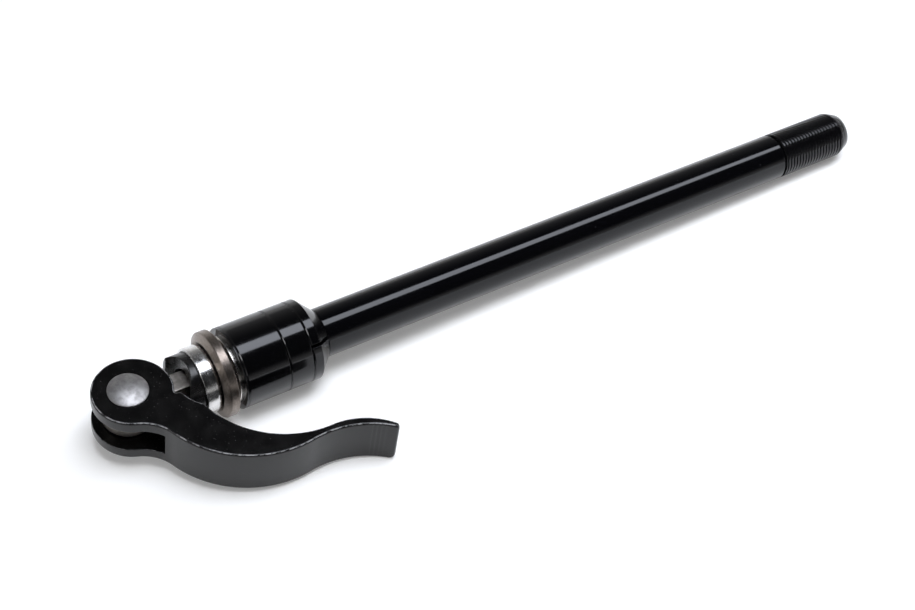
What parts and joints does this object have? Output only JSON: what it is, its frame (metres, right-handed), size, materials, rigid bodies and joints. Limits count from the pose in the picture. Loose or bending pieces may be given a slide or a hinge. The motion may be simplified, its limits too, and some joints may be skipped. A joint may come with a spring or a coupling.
{
  "type": "bicycle thru axle",
  "caption": "Black anodised thru axle with a fine end thread, a split cone seat, a removable spacer and a folding cam lever on an eye rod.",
  "frame": {"origin": "on the axle's centre line, in the plane where the spacer meets the split ring", "axes": "+X along the axle towards its threaded end, +Z along the lever pin towards its domed head, the closed handle on the -Y side"},
  "size_m": [0.2168, 0.0456, 0.0208],
  "materials": {
    "shaft_anodised": "gloss black anodised",
    "collar_anodised": "gloss black anodised",
    "polished_steel": "mirror polished",
    "nickel_steel": "dull nickel plate",
    "black_plastic": "moulded",
    "forged_steel": "forged and blasted",
    "satin_steel": "satin",
    "lever_coating": "satin black coating"
  },
  "bodies": {
    "axle": {"axle_shaft": "shaft_anodised", "sleeve": "collar_anodised", "spacer": "collar_anodised", "split_ring": "collar_anodised", "thrust_bush": "polished_steel"},
    "rod": {"eye_rod": "forged_steel"},
    "follower": {"saddle": "black_plastic", "cap": "polished_steel", "cup_washer": "nickel_steel"},
    "lever": {"lever": "lever_coating", "pin": "satin_steel"}
  },
  "joints": [
    {"name": "rod_swivel", "type": "hinge", "parent": "axle", "child": "rod", "pos_m": [-0.005, 0, 0], "axis": [1, 0, 0], "range_deg": [-180, 180]},
    {"name": "follower_slide", "type": "slide", "parent": "rod", "child": "follower", "axis": [1, 0, 0], "range_m": [-0.0004, 0.00095]},
    {"name": "lever_hinge", "type": "hinge", "parent": "rod", "child": "lever", "pos_m": [-0.04233, 0, 0], "axis": [0, 0, -1], "range_deg": [0, 170]}
  ]
}
